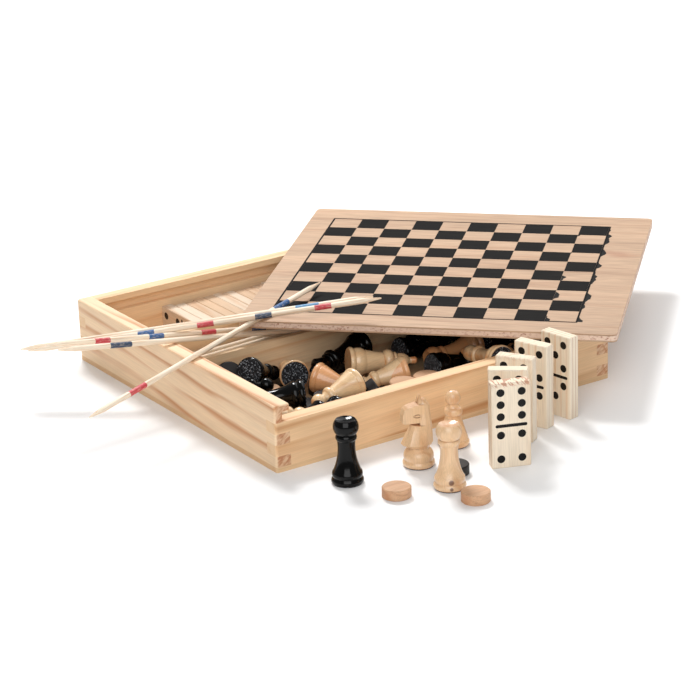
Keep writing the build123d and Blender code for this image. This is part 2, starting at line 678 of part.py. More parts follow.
def box_contents(nodes):
    """Add the men, draughts, dominoes and sticks that are put away in the box."""
    men, pads = heaped_men()
    for finish, placed in men.items():
        nodes[finish + "_men_in_box"] = group([place * MEN[kind] for kind, place in placed])
    nodes["felt_pads_in_box"] = group([place * PAD for place in pads])
    natural, black = draught_grid()
    natural += flat_draughts(NATURAL_FLAT)
    black += flat_draughts(BLACK_FLAT)
    for x, y, *turned_to in BLACK_LEANING:
        black.append(pointing(*in_bay(x, y), *turned_to) * DRAUGHT)
    nodes["natural_draughts_in_box"] = group(natural)
    nodes["black_draughts_in_box"] = group(black)
    tiles, marks = [], []
    for place, upper, lower in put_away_tiles():
        tile, tile_marks = domino(upper, lower)
        tiles.append(place * tile)
        marks += [place * mark for mark in tile_marks]
    nodes["dominoes_in_box"] = group(tiles)
    nodes["domino_marks_in_box"] = group(marks)
    nodes["sticks_in_box"] = group(stick_pile())


def main():
    """Build every piece and write one file per node."""
    nodes = {}
    nodes["base_panel"] = base_panel()
    nodes["left_wall"] = side_wall(-1)
    nodes["right_wall"] = side_wall(1)
    nodes["front_wall"] = front_wall()
    nodes["back_wall"] = back_wall()
    nodes["bay_divider"] = divider(BAY_DIVIDER_Y)
    nodes["tile_divider"] = divider(TILE_DIVIDER_Y)
    nodes["lid_core"] = lid_sheet(LID_FACE_PLY, LID_CORE_PLY)
    faces = [lid_sheet(0, LID_FACE_PLY), lid_sheet(LID_FACE_PLY + LID_CORE_PLY, LID_FACE_PLY)]
    nodes["lid_veneers"] = group(faces)
    nodes["board_print"] = board_print()
    loose_sticks(nodes)
    standing_sets(nodes)
    box_contents(nodes)
    os.makedirs("parts", exist_ok=True)
    for name, shape in nodes.items():
        export_step(shape, "parts/" + name + ".step")


if __name__ == "__main__":
    main()
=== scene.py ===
"""Games compendium box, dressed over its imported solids.

A shallow pine box stands open with its draughtboard lid laid across it.  Chess men,
draughts, dominoes and pick-up sticks lie in its bays, over its rims and in front of it.

Places and sizes are in millimetres, and angles in degrees, unless a line says otherwise.
"""
import logging
import math
import sys
from dataclasses import dataclass
from enum import Enum
from typing import Any, ClassVar

import bpy
from mathutils import Matrix, Vector


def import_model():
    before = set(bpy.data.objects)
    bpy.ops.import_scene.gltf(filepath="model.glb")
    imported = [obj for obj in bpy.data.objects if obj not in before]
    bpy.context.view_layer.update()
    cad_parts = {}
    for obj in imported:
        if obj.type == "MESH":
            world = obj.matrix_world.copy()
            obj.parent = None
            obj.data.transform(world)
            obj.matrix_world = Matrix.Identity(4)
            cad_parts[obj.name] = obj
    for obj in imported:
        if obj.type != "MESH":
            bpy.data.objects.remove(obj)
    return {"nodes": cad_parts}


LOG = logging.getLogger("compendium")
MM = 0.001

Material = bpy.types.Material
Node = bpy.types.Node
Socket = bpy.types.NodeSocket
Tree = bpy.types.NodeTree
Triple = tuple[float, float, float]
Rgba = tuple[float, float, float, float]
Stops = tuple[tuple[float, Rgba], ...]

# Sockets of a mix node that mixes two colours.
SHARE, FIRST, SECOND, MIXED = 0, 6, 7, 2
# Distance between two rings of a wave texture whose scale is one.
WAVE_SPACING = math.pi / 10


def linear(hex_colour: str) -> Rgba:
    """Turn an sRGB hex colour into linear RGBA.

    Args:
        hex_colour: Colour such as "#EBCFA5".

    Returns:
        Linear red, green, blue and an alpha of one.
    """
    # The sRGB curve has a straight foot, and a power above it.
    foot, slope, offset, power = 0.04045, 12.92, 0.055, 2.4
    parts = [int(hex_colour[start:start + 2], 16) / 255 for start in (1, 3, 5)]
    red, green, blue = (part / slope if part <= foot else ((part + offset) / (1 + offset)) ** power
                        for part in parts)
    return red, green, blue, 1.0


def grey(value: float) -> Rgba:
    """Opaque grey of one linear value."""
    return value, value, value, 1.0


def add_node(tree: Tree, kind: str, inputs: dict[int | str, Any] | None = None,
             stops: Stops = (), **settings: Any) -> Node:
    """Add a node with its settings, values and links.

    Args:
        tree: Node tree to add to.
        kind: Blender's name for the node type, without "ShaderNode".
        inputs: Input name or number, and the value or output socket for it.
        stops: Position and colour of each stop, if the node is a colour ramp.
        **settings: Properties of the node.

    Returns:
        The new node.
    """
    made = tree.nodes.new("ShaderNode" + kind)
    for name, value in settings.items():
        setattr(made, name, value)
    for name, value in (inputs or {}).items():
        if isinstance(value, Socket):
            tree.links.new(value, made.inputs[name])
        else:
            made.inputs[name].default_value = value
    for index, (position, colour) in enumerate(stops):
        elements = made.color_ramp.elements
        stop = elements[index] if index < len(elements) else elements.new(position)
        stop.position = position
        stop.color = colour
    return made


def millimetres(tree: Tree) -> Socket:
    """Place on the piece in millimetres, in the shared frame at rest."""
    place = add_node(tree, "TexCoord").outputs["Object"]
    return add_node(tree, "VectorMath", {0: place, "Scale": 1 / MM}, operation="SCALE").outputs[0]


def turn(tree: Tree, place: Socket, bearing: float, rise: float = 0.0) -> Socket:
    """Turn a place so that one direction, such as that of the fibres, runs along X.

    Args:
        tree: Node tree to add to.
        place: Place in millimetres.
        bearing: Angle of the direction from X, seen from above.
        rise: Angle by which the direction climbs.

    Returns:
        The turned place.
    """
    level = add_node(tree, "VectorRotate", {"Vector": place, "Angle": math.radians(-bearing)},
                     rotation_type="Z_AXIS").outputs[0]
    return add_node(tree, "VectorRotate", {"Vector": level, "Angle": math.radians(rise)},
                    rotation_type="Y_AXIS").outputs[0]


def shader_of(material: Material) -> Node:
    """Principled shader of a material."""
    return next(node for node in material.node_tree.nodes if node.type == "BSDF_PRINCIPLED")


def colour_of(material: Material) -> Socket:
    """Socket that gives a finished material its colour."""
    return shader_of(material).inputs["Base Color"].links[0].from_socket


def recolour(material: Material, colour: Socket) -> None:
    """Link a colour to the material's shader, in place of the one before."""
    material.node_tree.links.new(colour, shader_of(material).inputs["Base Color"])


class Grain(Enum):
    """Direction in which a piece's wood fibres run, as a bearing and a rise."""

    ALONG_X = (0.0, 0.0)
    ALONG_Y = (90.0, 0.0)
    UPRIGHT = (0.0, 90.0)
    LID = (-45.4, 0.0)

    @property
    def bearing(self) -> float:
        """Angle of the fibres from X, seen from above."""
        return self.value[0]

    @property
    def rise(self) -> float:
        """Angle by which the fibres climb."""
        return self.value[1]

    def direction(self) -> Triple:
        """Unit vector along the fibres."""
        bearing, rise = math.radians(self.bearing), math.radians(self.rise)
        return math.cos(bearing) * math.cos(rise), math.sin(bearing) * math.cos(rise), math.sin(rise)


@dataclass(frozen=True)
class Patches:
    """Noise in patches of a real size.

    The size is that of one patch along X, Y and Z.  Where the noise is at `starts` a patch
    begins to show, and where it is at `whole` the patch is at its strongest.
    """

    size: Triple
    detail: float = 2.0
    roughness: float = 0.5
    starts: float = 0.0
    whole: float = 1.0

    def noise(self, tree: Tree, place: Socket) -> Node:
        """Add the noise.

        Args:
            tree: Node tree to add to.
            place: Place in millimetres.

        Returns:
            The noise node.
        """
        patch = add_node(tree, "VectorMath", {0: place, 1: [1 / side for side in self.size]},
                         operation="MULTIPLY").outputs[0]
        return add_node(tree, "TexNoise", {"Vector": patch, "Scale": 1.0, "Detail": self.detail,
                                           "Roughness": self.roughness})

    def strength(self, tree: Tree, noise: Node, least: float, most: float) -> Socket:
        """Turn the noise into how strongly the patches show.

        Args:
            tree: Node tree to add to.
            noise: The patches' noise node.
            least: Value between the patches.
            most: Value within a patch.

        Returns:
            The value as a grey.
        """
        stops = ((self.starts, grey(least)), (self.whole, grey(most)))
        return add_node(tree, "ValToRGB", {"Fac": noise.outputs["Fac"]}, stops).outputs["Color"]


@dataclass(frozen=True)
class Finish:
    """What a surface is made of and how it was finished.

    The IOR is that of wood, lacquer and paint.  The bump is how strongly the relief shows,
    and the relief is how high it is.
    """

    name: str
    roughness: float = 0.5
    ior: float = 1.5
    specular: float = 0.5
    coat: float = 0.0
    coat_roughness: float = 0.1
    sheen: float = 0.0
    bump: float = 0.15
    relief: float = 0.1

    def start(self) -> Material:
        """Make the material with its shader.

        Returns:
            The material, which has no colour yet.
        """
        made = bpy.data.materials.new(self.name)
        made.use_nodes = True
        tree = made.node_tree
        tree.nodes.clear()
        constants = {"Roughness": self.roughness, "IOR": self.ior,
                     "Specular IOR Level": self.specular, "Coat Weight": self.coat,
                     "Coat Roughness": self.coat_roughness, "Sheen Weight": self.sheen}
        shader = add_node(tree, "BsdfPrincipled", constants)
        add_node(tree, "OutputMaterial", {"Surface": shader.outputs[0]})
        return made

    def cover(self, material: Material, colour: Socket, height: Socket) -> None:
        """Give the material its colour and its relief.

        Args:
            material: Material that `start` made.
            colour: Colour of the surface.
            height: Height of the surface, from zero to one.
        """
        recolour(material, colour)
        bump = add_node(material.node_tree, "Bump", {"Strength": self.bump, "Height": height,
                                                     "Distance": self.relief * MM})
        material.node_tree.links.new(bump.outputs[0], shader_of(material).inputs["Normal"])


@dataclass(frozen=True, kw_only=True)
class Wood(Finish):
    """Wood with growth rings, fibres and pores, cut from a solid log texture.

    Each ring goes from the early to the late colour.  The rings have a width, a contrast, a
    centre (the pith), a tilt against the fibres and a wander off their circles.  The fibres
    have a width and a contrast, and are drawn about ten times as coarse as real ones, which
    wouldn't show.  `blotch` is how much darker the slow patches are.  Faces that cut the
    fibres show the end colour, `end_least` of it everywhere and the rest in patches.
    Painted shade darkens turned recesses and other hollows, within its reach across.  Where
    `each_differs`, the pieces in a node are cut from different places in the log and tinted, one for
    each cell.
    """

    early: str
    late: str
    end: str
    end_least: float = 0.5
    grain: Grain = Grain.ALONG_X
    ring: float = 4.0
    ring_contrast: float = 0.6
    pith: Triple = (0.0, 34.0, -60.0)
    tilt: float = 2.0
    wander: float = 5.0
    fibre: float = 0.45
    fibre_contrast: float = 0.12
    blotch: float = 0.12
    # Reach across of the shade painted into grooves and hollows, in millimetres, and that shade's
    # colour.
    painted_shade_reach: float = 0.0
    painted_shade_colour: str = "#8C5330"
    each_differs: float = 0.0
    tint: str = "#D9B08C"
    cell: Triple = (1000.0, 1000.0, 1000.0)
    cell_start: Triple = (-500.0, -500.0, -500.0)

    # A ring's profile: pale early wood, a slow rise, dark late wood and a sharp edge.
    PROFILE: ClassVar[Stops] = ((0.0, grey(0.0)), (0.55, grey(0.12)), (0.86, grey(1.0)),
                                (1.0, grey(0.05)))
    # Slow patches: of the rings' wander, of how dark the rings are and of the wood's tone.
    DRIFT: ClassVar[Patches] = Patches((277.78, 33.333, 33.333), 3.0)
    SEASONS: ClassVar[Patches] = Patches((75.758, 9.0909, 9.0909), 1.0, starts=0.38, whole=0.56)
    TONE: ClassVar[Patches] = Patches((166.67, 20.0, 20.0), starts=0.32, whole=0.68)
    FAINTEST_RING: ClassVar[float] = 0.15
    # How many times longer than wide a fibre looks, and where it shows.
    FIBRE_RATIO: ClassVar[float] = 33.333
    FIBRE_STARTS: ClassVar[float] = 0.35
    FIBRE_WHOLE: ClassVar[float] = 0.62
    # Cosine between a face's normal and the fibres, and how much end grain it shows there.
    # The saw's tears are slanted, and soak up the most.
    CUT: ClassVar[Stops] = ((0.75, grey(0.0)), (0.95, grey(1.0)))
    TEAR_SLANT: ClassVar[float] = 35.0
    TEARS: ClassVar[Patches] = Patches((3.5714, 3.5714, 1.1364), 4.0, starts=0.40, whole=0.62)
    # Share of its surroundings that a spot sees, and how much painted shade it takes there.
    GROOVE_SHADE: ClassVar[Stops] = ((0.35, grey(0.95)), (0.9, grey(0.0)))
    # Farthest that one piece is cut from the next, and the chance from which it has no tint.
    APART: ClassVar[Triple] = (173.0, 97.0, 211.0)
    UNTINTED: ClassVar[float] = 0.55

    def build(self) -> Material:
        """Make the wood material.

        Returns:
            The material.
        """
        made = self.start()
        tree = made.node_tree
        place = millimetres(tree)
        chance = self.chance(tree, place) if self.each_differs else None
        if chance is not None:
            shift = add_node(tree, "VectorMath", {0: self.APART, "Scale": chance}, operation="SCALE")
            place = add_node(tree, "VectorMath", {0: place, 1: shift.outputs[0]},
                             operation="ADD").outputs[0]
        along = turn(tree, place, self.grain.bearing, self.grain.rise + self.tilt)
        colour, height = self.figure(tree, along)
        if chance is not None:
            colour = self.vary(tree, colour, chance)
        colour = self.end_grain(tree, colour, place)
        # Painted shade in turned grooves and other hollows.
        if self.painted_shade_reach:
            colour = self.paint_groove_shade(tree, colour)
        self.cover(made, colour, height)
        return made

    def figure(self, tree: Tree, along: Socket) -> tuple[Socket, Socket]:
        """Draw rings, fibres and blotches.

        Args:
            tree: Node tree to add to.
            along: Place in millimetres, turned so that the fibres run along X.

        Returns:
            The colour and the height of the surface.
        """
        colour = add_node(tree, "Mix", {SHARE: self.rings(tree, along), FIRST: linear(self.early),
                                        SECOND: linear(self.late)}, data_type="RGBA").outputs[MIXED]
        fibres = Patches((self.FIBRE_RATIO * self.fibre, self.fibre, self.fibre),
                         starts=self.FIBRE_STARTS, whole=self.FIBRE_WHOLE)
        fibre = fibres.noise(tree, along)
        layers = (fibres.strength(tree, fibre, 1 - self.fibre_contrast, 1.0),
                  self.TONE.strength(tree, self.TONE.noise(tree, along), 1 - self.blotch, 1.0))
        for layer in layers:
            colour = add_node(tree, "Mix", {SHARE: 1.0, FIRST: colour, SECOND: layer},
                              data_type="RGBA", blend_type="MULTIPLY").outputs[MIXED]
        return colour, fibre.outputs["Fac"]

    def rings(self, tree: Tree, along: Socket) -> Socket:
        """Draw how much of the late wood's colour shows.

        Args:
            tree: Node tree to add to.
            along: Place in millimetres, turned so that the fibres run along X.

        Returns:
            The share of the late wood's colour.
        """
        drift = self.DRIFT.noise(tree, along).outputs["Color"]
        centred = add_node(tree, "VectorMath", {0: drift, 1: (0.5, 0.5, 0.5)},
                           operation="SUBTRACT").outputs[0]
        wander = add_node(tree, "VectorMath", {0: centred, "Scale": 2 * self.wander},
                          operation="SCALE").outputs[0]
        moved = add_node(tree, "VectorMath", {0: along, 1: wander}, operation="ADD").outputs[0]
        off_pith = add_node(tree, "VectorMath", {0: moved, 1: self.pith},
                            operation="SUBTRACT").outputs[0]
        wave = add_node(tree, "TexWave", {"Vector": off_pith, "Scale": WAVE_SPACING / self.ring},
                        wave_type="RINGS", rings_direction="X", wave_profile="SAW")
        band = add_node(tree, "ValToRGB", {"Fac": wave.outputs["Fac"]}, self.PROFILE).outputs[0]
        season = self.SEASONS.noise(tree, along)
        strength = self.SEASONS.strength(tree, season, self.FAINTEST_RING, 1.0)
        strong = add_node(tree, "Math", {0: band, 1: strength}, operation="MULTIPLY").outputs[0]
        return add_node(tree, "Math", {0: strong, 1: self.ring_contrast},
                        operation="MULTIPLY").outputs[0]

    def chance(self, tree: Tree, place: Socket) -> Socket:
        """Draw a number from zero to one for each cell, which holds about one piece.

        Args:
            tree: Node tree to add to.
            place: Place in millimetres.

        Returns:
            The number.
        """
        moved = add_node(tree, "VectorMath", {0: place, 1: self.cell_start},
                         operation="SUBTRACT").outputs[0]
        snapped = add_node(tree, "VectorMath", {0: moved, 1: self.cell}, operation="SNAP").outputs[0]
        return add_node(tree, "TexWhiteNoise", {"Vector": snapped},
                        noise_dimensions="3D").outputs["Value"]

    def vary(self, tree: Tree, colour: Socket, chance: Socket) -> Socket:
        """Tint each separate piece a little more or less than the next.

        Args:
            tree: Node tree to add to.
            colour: Colour of the wood.
            chance: The piece's own number.

        Returns:
            The colour with its tint.
        """
        stops = ((0.0, linear(self.tint)), (self.UNTINTED, grey(1.0)))
        tone = add_node(tree, "ValToRGB", {"Fac": chance}, stops).outputs[0]
        return add_node(tree, "Mix", {SHARE: self.each_differs, FIRST: colour, SECOND: tone},
                        data_type="RGBA", blend_type="MULTIPLY").outputs[MIXED]

    def end_grain(self, tree: Tree, colour: Socket, place: Socket) -> Socket:
        """Recolour the faces that cut the fibres, which soak up more lacquer and light.

        Args:
            tree: Node tree to add to.
            colour: Colour of the wood along its fibres.
            place: Place in millimetres.

        Returns:
            The colour with ragged, blotchy end grain.
        """
        normal = add_node(tree, "TexCoord").outputs["Normal"]
        facing = add_node(tree, "VectorMath", {0: normal, 1: self.grain.direction()},
                          operation="DOT_PRODUCT").outputs["Value"]
        across = add_node(tree, "Math", {0: facing}, operation="ABSOLUTE").outputs[0]
        cut = add_node(tree, "ValToRGB", {"Fac": across}, self.CUT).outputs[0]
        tears = self.TEARS.noise(tree, turn(tree, place, 0.0, self.TEAR_SLANT))
        soaked = self.TEARS.strength(tree, tears, self.end_least, 1.0)
        share = add_node(tree, "Math", {0: cut, 1: soaked}, operation="MULTIPLY").outputs[0]
        return add_node(tree, "Mix", {SHARE: share, FIRST: colour, SECOND: linear(self.end)},
                        data_type="RGBA").outputs[MIXED]

    def paint_groove_shade(self, tree: Tree, colour: Socket) -> Socket:
        """Paint shade into turned recesses and other hollows, darker where a spot sees less around it.

        Args:
            tree: Node tree to add to.
            colour: Colour of the wood.

        Returns:
            The colour with painted shade in its hollows.
        """
        open_share = add_node(tree, "AmbientOcclusion", {"Distance": self.painted_shade_reach * MM}).outputs["AO"]
        shaded = add_node(tree, "ValToRGB", {"Fac": open_share}, self.GROOVE_SHADE).outputs[0]
        return add_node(tree, "Mix", {SHARE: shaded, FIRST: colour, SECOND: linear(self.painted_shade_colour)},
                        data_type="RGBA").outputs[MIXED]


@dataclass(frozen=True)
class Marks:
    """Knots, or other small round marks, in a piece of wood: x, y, z and radius of each.

    A mark starts to fade at `soft` of its radius and has gone at `gone` of it.
    """

    spots: tuple[tuple[float, float, float, float], ...]
    colour: str = "#5A2E1C"
    strength: float = 0.85
    soft: float = 0.5
    gone: float = 1.2

    def mark(self, material: Material) -> Material:
        """Add the marks to a finished material.

        Args:
            material: Wood material.

        Returns:
            The same material.
        """
        tree = material.node_tree
        colour = colour_of(material)
        place = millimetres(tree)
        for x, y, z, radius in self.spots:
            away = add_node(tree, "VectorMath", {0: place, 1: (x, y, z)},
                            operation="DISTANCE").outputs["Value"]
            share = add_node(tree, "MapRange", {
                "Value": away, "From Min": self.soft * radius, "From Max": self.gone * radius,
                "To Min": self.strength, "To Max": 0.0}).outputs[0]
            colour = add_node(tree, "Mix", {SHARE: share, FIRST: colour, SECOND: linear(self.colour)},
                              data_type="RGBA").outputs[MIXED]
        recolour(material, colour)
        return material


@dataclass(frozen=True, kw_only=True)
class Painted(Finish):
    """Paint or ink through which the wood's fibres show, up to a share of `wear`."""

    colour: str
    worn: str
    grain: Grain = Grain.LID
    wear: float = 0.35
    bump: float = 0.2
    relief: float = 0.05

    FIBRES: ClassVar[Patches] = Patches((16.667, 0.5, 0.5), 3.0, starts=0.45, whole=0.75)

    def build(self) -> Material:
        """Make the paint material.

        Returns:
            The material.
        """
        made = self.start()
        tree = made.node_tree
        fibre = self.FIBRES.noise(tree, turn(tree, millimetres(tree), self.grain.bearing))
        share = self.FIBRES.strength(tree, fibre, 0.0, self.wear)
        colour = add_node(tree, "Mix", {SHARE: share, FIRST: linear(self.colour),
                                        SECOND: linear(self.worn)}, data_type="RGBA").outputs[MIXED]
        self.cover(made, colour, fibre.outputs["Fac"])
        return made


@dataclass(frozen=True)
class Felt(Finish):
    """Pressed felt with pale flecks in a black ground, drawn coarser than real hairs to show."""

    colour: str = "#1B1B1E"
    fleck: str = "#A2A7AE"
    fleck_share: float = 0.85
    bump: float = 0.5
    relief: float = 0.2

    FLECKS: ClassVar[Patches] = Patches((0.625, 0.625, 0.625), starts=0.57, whole=0.65)

    def build(self) -> Material:
        """Make the felt material.

        Returns:
            The material.
        """
        made = self.start()
        tree = made.node_tree
        flecks = self.FLECKS.noise(tree, millimetres(tree))
        share = self.FLECKS.strength(tree, flecks, 0.0, self.fleck_share)
        colour = add_node(tree, "Mix", {SHARE: share, FIRST: linear(self.colour),
                                        SECOND: linear(self.fleck)}, data_type="RGBA").outputs[MIXED]
        self.cover(made, colour, flecks.outputs["Fac"])
        return made


@dataclass(frozen=True)
class Core(Finish):
    """Sawn edge of the lid's core: pale crushed wood with reddish pores and dark pits.

    The pores come in crowds, within which `most` of their colour shows, and `least` between.
    """

    pale: str = "#E3C8B4"
    pore: str = "#A56B54"
    grain: Grain = Grain.LID
    least: float = 0.25
    most: float = 0.9
    bump: float = 0.4
    relief: float = 0.2

    PORES: ClassVar[Patches] = Patches((1.2987, 1.2987, 0.6993), 4.0, 0.65, starts=0.52, whole=0.62)
    CROWDS: ClassVar[Patches] = Patches((8.3333, 8.3333, 8.3333), 1.0, starts=0.35, whole=0.65)

    def build(self) -> Material:
        """Make the core material.

        Returns:
            The material.
        """
        made = self.start()
        tree = made.node_tree
        place = turn(tree, millimetres(tree), self.grain.bearing)
        pores = self.PORES.strength(tree, self.PORES.noise(tree, place), 0.0, 1.0)
        often = self.CROWDS.strength(tree, self.CROWDS.noise(tree, place), self.least, self.most)
        share = add_node(tree, "Math", {0: pores, 1: often}, operation="MULTIPLY").outputs[0]
        colour = add_node(tree, "Mix", {SHARE: share, FIRST: linear(self.pale),
                                        SECOND: linear(self.pore)}, data_type="RGBA").outputs[MIXED]
        pits = add_node(tree, "Math", {0: 1.0, 1: pores}, operation="SUBTRACT").outputs[0]
        self.cover(made, colour, pits)
        return made


@dataclass(frozen=True)
class Border:
    """Edge of the printed board that ink has crept past, seen from the lid's centre.

    Ink starts to creep where the noise is at `starts`, and has crept its whole `reach`
    where the noise is at `whole`.
    """

    place: float
    starts: float
    whole: float
    reach: float


@dataclass(frozen=True)
class InkWear:
    """Ink that has crept into the veneer past the right borders of the printed board.

    Places run along the lid's own sides, from its centre.  The ink stays within
    `half_side` of the board's middle, and on the upper face, which is higher than `bottom`.
    """

    centre: Triple = (78.5, 4.6, 0.0)
    borders: tuple[Border, ...] = (Border(73.9, 0.42, 0.66, 2.9), Border(57.9, 0.59, 0.68, 2.4))
    half_side: float = 77.4
    middle: float = -0.9
    bottom: float = 37.4
    colour: str = "#0F0D0C"
    specular: float = 0.12

    FINGERS: ClassVar[Patches] = Patches((78.431, 11.765, 11.765), 2.0, 0.42)

    def spread(self, veneer: Material) -> Material:
        """Add the crept ink to a finished veneer.

        Args:
            veneer: Veneer material.

        Returns:
            The same material.
        """
        tree = veneer.node_tree
        moved = add_node(tree, "VectorMath", {0: millimetres(tree), 1: self.centre},
                         operation="SUBTRACT").outputs[0]
        own = turn(tree, moved, Grain.LID.bearing)
        x, y, z = add_node(tree, "SeparateXYZ", {"Vector": own}).outputs
        fingers = self.FINGERS.noise(tree, own).outputs["Fac"]
        on_board = self.on_board(tree, y, z)
        colour = colour_of(veneer)
        gloss_input = shader_of(veneer).inputs["Specular IOR Level"]
        gloss: Any = gloss_input.default_value
        for border in self.borders:
            tip = add_node(tree, "MapRange", {
                "Value": fingers, "From Min": border.starts, "From Max": border.whole,
                "To Min": border.place, "To Max": border.place + border.reach}).outputs[0]
            before_tip = add_node(tree, "Math", {0: x, 1: tip}, operation="LESS_THAN").outputs[0]
            past = add_node(tree, "Math", {0: x, 1: border.place},
                            operation="GREATER_THAN").outputs[0]
            inked = add_node(tree, "Math", {0: before_tip, 1: past}, operation="MULTIPLY").outputs[0]
            mask = add_node(tree, "Math", {0: inked, 1: on_board}, operation="MULTIPLY").outputs[0]
            colour = add_node(tree, "Mix", {SHARE: mask, FIRST: colour, SECOND: linear(self.colour)},
                              data_type="RGBA").outputs[MIXED]
            gloss = add_node(tree, "MapRange", {"Value": mask, "To Min": gloss,
                                                "To Max": self.specular}).outputs[0]
        recolour(veneer, colour)
        tree.links.new(gloss, gloss_input)
        return veneer

    def on_board(self, tree: Tree, along: Socket, up: Socket) -> Socket:
        """Find the part of the lid that the ink can reach.

        Args:
            tree: Node tree to add to.
            along: Place along the borders, from the lid's centre.
            up: Height over the floor.

        Returns:
            One where the ink can reach, or else nothing.
        """
        off_middle = add_node(tree, "Math", {0: along, 1: self.middle}, operation="SUBTRACT").outputs[0]
        away = add_node(tree, "Math", {0: off_middle}, operation="ABSOLUTE").outputs[0]
        beside = add_node(tree, "Math", {0: away, 1: self.half_side}, operation="LESS_THAN").outputs[0]
        upper = add_node(tree, "Math", {0: up, 1: self.bottom}, operation="GREATER_THAN").outputs[0]
        return add_node(tree, "Math", {0: beside, 1: upper}, operation="MULTIPLY").outputs[0]


@dataclass(frozen=True, kw_only=True)
class TileWood(Wood):
    """Wood of one standing domino, with glue lines along its edges and a bruised top.

    The corner is the left front one, and the yaw turns X along the face.  The glue's colour
    is also the bruise's, and its lines lie at those depths behind the face.  The bruise
    starts at `bruise_starts` below the tile's top and is whole at `bruise_whole`.
    """

    corner: Triple
    yaw: float
    glue_share: float
    bruise: float
    glue: str = "#B97C5C"
    glue_lines: tuple[float, ...] = (2.0, 4.1)
    glue_half_width: float = 0.2
    bruise_starts: float = 2.2
    bruise_whole: float = 1.2
    height: float = 42.5

    NICK_SLANT: ClassVar[float] = 40.0
    NICKS: ClassVar[Patches] = Patches((0.85470, 3.7037, 4.4444), 1.0, starts=0.50, whole=0.56)

    def build(self) -> Material:
        """Make the tile material.

        Returns:
            The material.
        """
        made = super().build()
        tree = made.node_tree
        moved = add_node(tree, "VectorMath", {0: millimetres(tree), 1: self.corner},
                         operation="SUBTRACT").outputs[0]
        own = turn(tree, moved, self.yaw)
        depth, up = add_node(tree, "SeparateXYZ", {"Vector": own}).outputs[1:]
        colour = colour_of(made)
        if self.glue_share:
            colour = self.layers(tree, colour, depth)
        if self.bruise:
            colour = self.bruised(tree, colour, own, up)
        recolour(made, colour)
        return made

    def layers(self, tree: Tree, colour: Socket, depth: Socket) -> Socket:
        """Draw the glue lines between the tile's layers.

        Args:
            tree: Node tree to add to.
            colour: Colour of the wood.
            depth: Distance behind the face.

        Returns:
            The colour with its glue lines.
        """
        for line in self.glue_lines:
            near = add_node(tree, "Math", {0: depth, 1: line, 2: self.glue_half_width},
                            operation="COMPARE").outputs[0]
            share = add_node(tree, "Math", {0: near, 1: self.glue_share},
                             operation="MULTIPLY").outputs[0]
            colour = add_node(tree, "Mix", {SHARE: share, FIRST: colour, SECOND: linear(self.glue)},
                              data_type="RGBA").outputs[MIXED]
        return colour

    def bruised(self, tree: Tree, colour: Socket, own: Socket, up: Socket) -> Socket:
        """Draw slanted reddish nicks that a saw left along the top edge.

        Args:
            tree: Node tree to add to.
            colour: Colour of the wood.
            own: Place in the tile's own directions.
            up: Height over the floor.

        Returns:
            The colour with its nicks.
        """
        nicks = self.NICKS.noise(tree, turn(tree, own, 0.0, self.NICK_SLANT))
        sharp = self.NICKS.strength(tree, nicks, 0.0, 1.0)
        top = add_node(tree, "MapRange", {
            "Value": up, "From Min": self.height - self.bruise_starts,
            "From Max": self.height - self.bruise_whole, "To Min": 0.0,
            "To Max": self.bruise}).outputs[0]
        share = add_node(tree, "Math", {0: sharp, 1: top}, operation="MULTIPLY").outputs[0]
        return add_node(tree, "Mix", {SHARE: share, FIRST: colour, SECOND: linear(self.glue)},
                        data_type="RGBA").outputs[MIXED]


class Paint(Enum):
    """Paints of the bands on the pick-up sticks."""

    RED = "#C8404A"
    BLUE = "#2E5C92"
    NAVY = "#33465F"
    SKY = "#5C95C2"


@dataclass(frozen=True)
class Bands:
    """Painted bands of one width, the first at `first` from the stick's left tip."""

    paints: tuple[Paint, ...]
    first: float
    spacing: float
    width: float

    def edges(self) -> list[tuple[float, float, Paint]]:
        """Start, end and paint of each band, from the left tip."""
        starts = [self.first + index * self.spacing for index in range(len(self.paints))]
        return [(start, start + self.width, paint) for start, paint in zip(starts, self.paints)]


@dataclass(frozen=True)
class Stick:
    """One loose pick-up stick: where it lies and how it is painted.

    It crosses the box's rim at `over`, with `before` of its length left of there.
    """

    node: str
    over: tuple[float, float]
    yaw: float
    rise: float
    before: float
    bands: Bands

    length: float = 180.0
    radius: float = 1.4
    rim: float = 33.6

    def direction(self) -> Vector:
        """Unit vector from the left tip to the right one."""
        yaw, rise = math.radians(self.yaw), math.radians(self.rise)
        return Vector((math.cos(yaw) * math.cos(rise), math.sin(yaw) * math.cos(rise), math.sin(rise)))

    def tip(self) -> Vector:
        """Left tip."""
        height = self.rim + self.radius / math.cos(math.radians(self.rise))
        return Vector((*self.over, height)) - self.before * self.direction()


